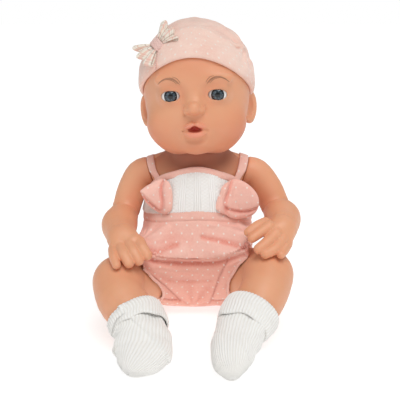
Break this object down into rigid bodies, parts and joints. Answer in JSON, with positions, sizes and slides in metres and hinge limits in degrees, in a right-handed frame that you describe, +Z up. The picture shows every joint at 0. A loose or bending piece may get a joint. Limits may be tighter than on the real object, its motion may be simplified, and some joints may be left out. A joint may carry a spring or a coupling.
{
  "type": "interactive baby doll",
  "caption": "Seated baby doll with turning head, arms and legs, inset eyes, a dotted romper, cap and socks, and a press-button sound module inside its hard torso.",
  "frame": {"origin": "middle of the doll's bounding box, on the plane that it sits on", "axes": "+Z up, the doll faces -Y, and its own left is +X"},
  "size_m": [0.1602, 0.1883, 0.2385],
  "materials": {
    "torso_plastic": "satin",
    "vinyl_skin": "soft matte vinyl",
    "inner_plastic": "moulded",
    "steel": "plain",
    "snap_metal": "enamelled",
    "board_green": "solder mask",
    "wire_jacket": "PVC",
    "black_plastic": "moulded",
    "eye_acrylic": "polished",
    "pink_jersey": "dotted cotton jersey",
    "check_ribbon": "checked ribbon",
    "dotted_ribbon": "dotted ribbon",
    "white_rib": "ribbed jersey",
    "sock_knit": "ribbed knit"
  },
  "bodies": {
    "torso": {"torso_front_shell": "torso_plastic", "torso_back_shell": "torso_plastic", "torso_screws": "steel", "sound_housing": "inner_plastic", "battery_door": "torso_plastic", "battery_door_screw": "steel", "battery_cells": "steel", "battery_contacts": "steel", "circuit_board": "board_green", "board_wires": "wire_jacket", "speaker": "black_plastic", "button_seat": "inner_plastic", "button_spring": "steel", "bodice": "white_rib", "romper_body": "pink_jersey", "waistband": "pink_jersey", "neckline_binding": "pink_jersey", "strap_left": "pink_jersey", "strap_right": "pink_jersey", "ear_flap_left": "pink_jersey", "ear_flap_right": "pink_jersey", "leg_binding_left": "pink_jersey", "leg_binding_right": "pink_jersey", "snap_fasteners": "snap_metal"},
    "head": {"head_shell": "vinyl_skin", "eye_left": "eye_acrylic", "eye_right": "eye_acrylic", "cap": "pink_jersey", "cap_brim": "pink_jersey", "bow_loops": "check_ribbon", "bow_knot": "dotted_ribbon", "neck_plug": "inner_plastic"},
    "arm_left": {"arm_left": "vinyl_skin", "arm_plug_left": "inner_plastic"},
    "arm_right": {"arm_right": "vinyl_skin", "arm_plug_right": "inner_plastic"},
    "leg_left": {"leg_left": "vinyl_skin", "leg_plug_left": "inner_plastic", "sock_left": "sock_knit", "sock_cuff_left": "sock_knit"},
    "leg_right": {"leg_right": "vinyl_skin", "leg_plug_right": "inner_plastic", "sock_right": "sock_knit", "sock_cuff_right": "sock_knit"},
    "button": {"belly_button": "inner_plastic"},
    "switch": {"power_switch": "black_plastic"}
  },
  "joints": [
    {"name": "neck_turn", "type": "hinge", "parent": "torso", "child": "head", "pos_m": [0, 0.0478, 0.137], "axis": [0, 0, 1], "range_deg": [-60, 60]},
    {"name": "shoulder_left", "type": "hinge", "parent": "torso", "child": "arm_left", "pos_m": [0.046, 0.0498, 0.112], "axis": [-0.9511, 0, 0.309], "range_deg": [0, 170]},
    {"name": "shoulder_right", "type": "hinge", "parent": "torso", "child": "arm_right", "pos_m": [-0.046, 0.0498, 0.112], "axis": [-0.9511, 0, -0.309], "range_deg": [0, 170]},
    {"name": "hip_left", "type": "hinge", "parent": "torso", "child": "leg_left", "pos_m": [0.024, 0.0498, 0.026], "axis": [1, 0, 0], "range_deg": [0, 85]},
    {"name": "hip_right", "type": "hinge", "parent": "torso", "child": "leg_right", "pos_m": [-0.024, 0.0498, 0.026], "axis": [1, 0, 0], "range_deg": [0, 85]},
    {"name": "belly_press", "type": "slide", "parent": "torso", "child": "button", "axis": [0, 1, 0], "range_m": [0, 0.002], "stiffness_N_per_m": 400, "springref_m": -0.003, "deforming": ["button_spring"]},
    {"name": "power_slide", "type": "slide", "parent": "torso", "child": "switch", "axis": [1, 0, 0], "range_m": [-0.0015, 0.0015]}
  ]
}
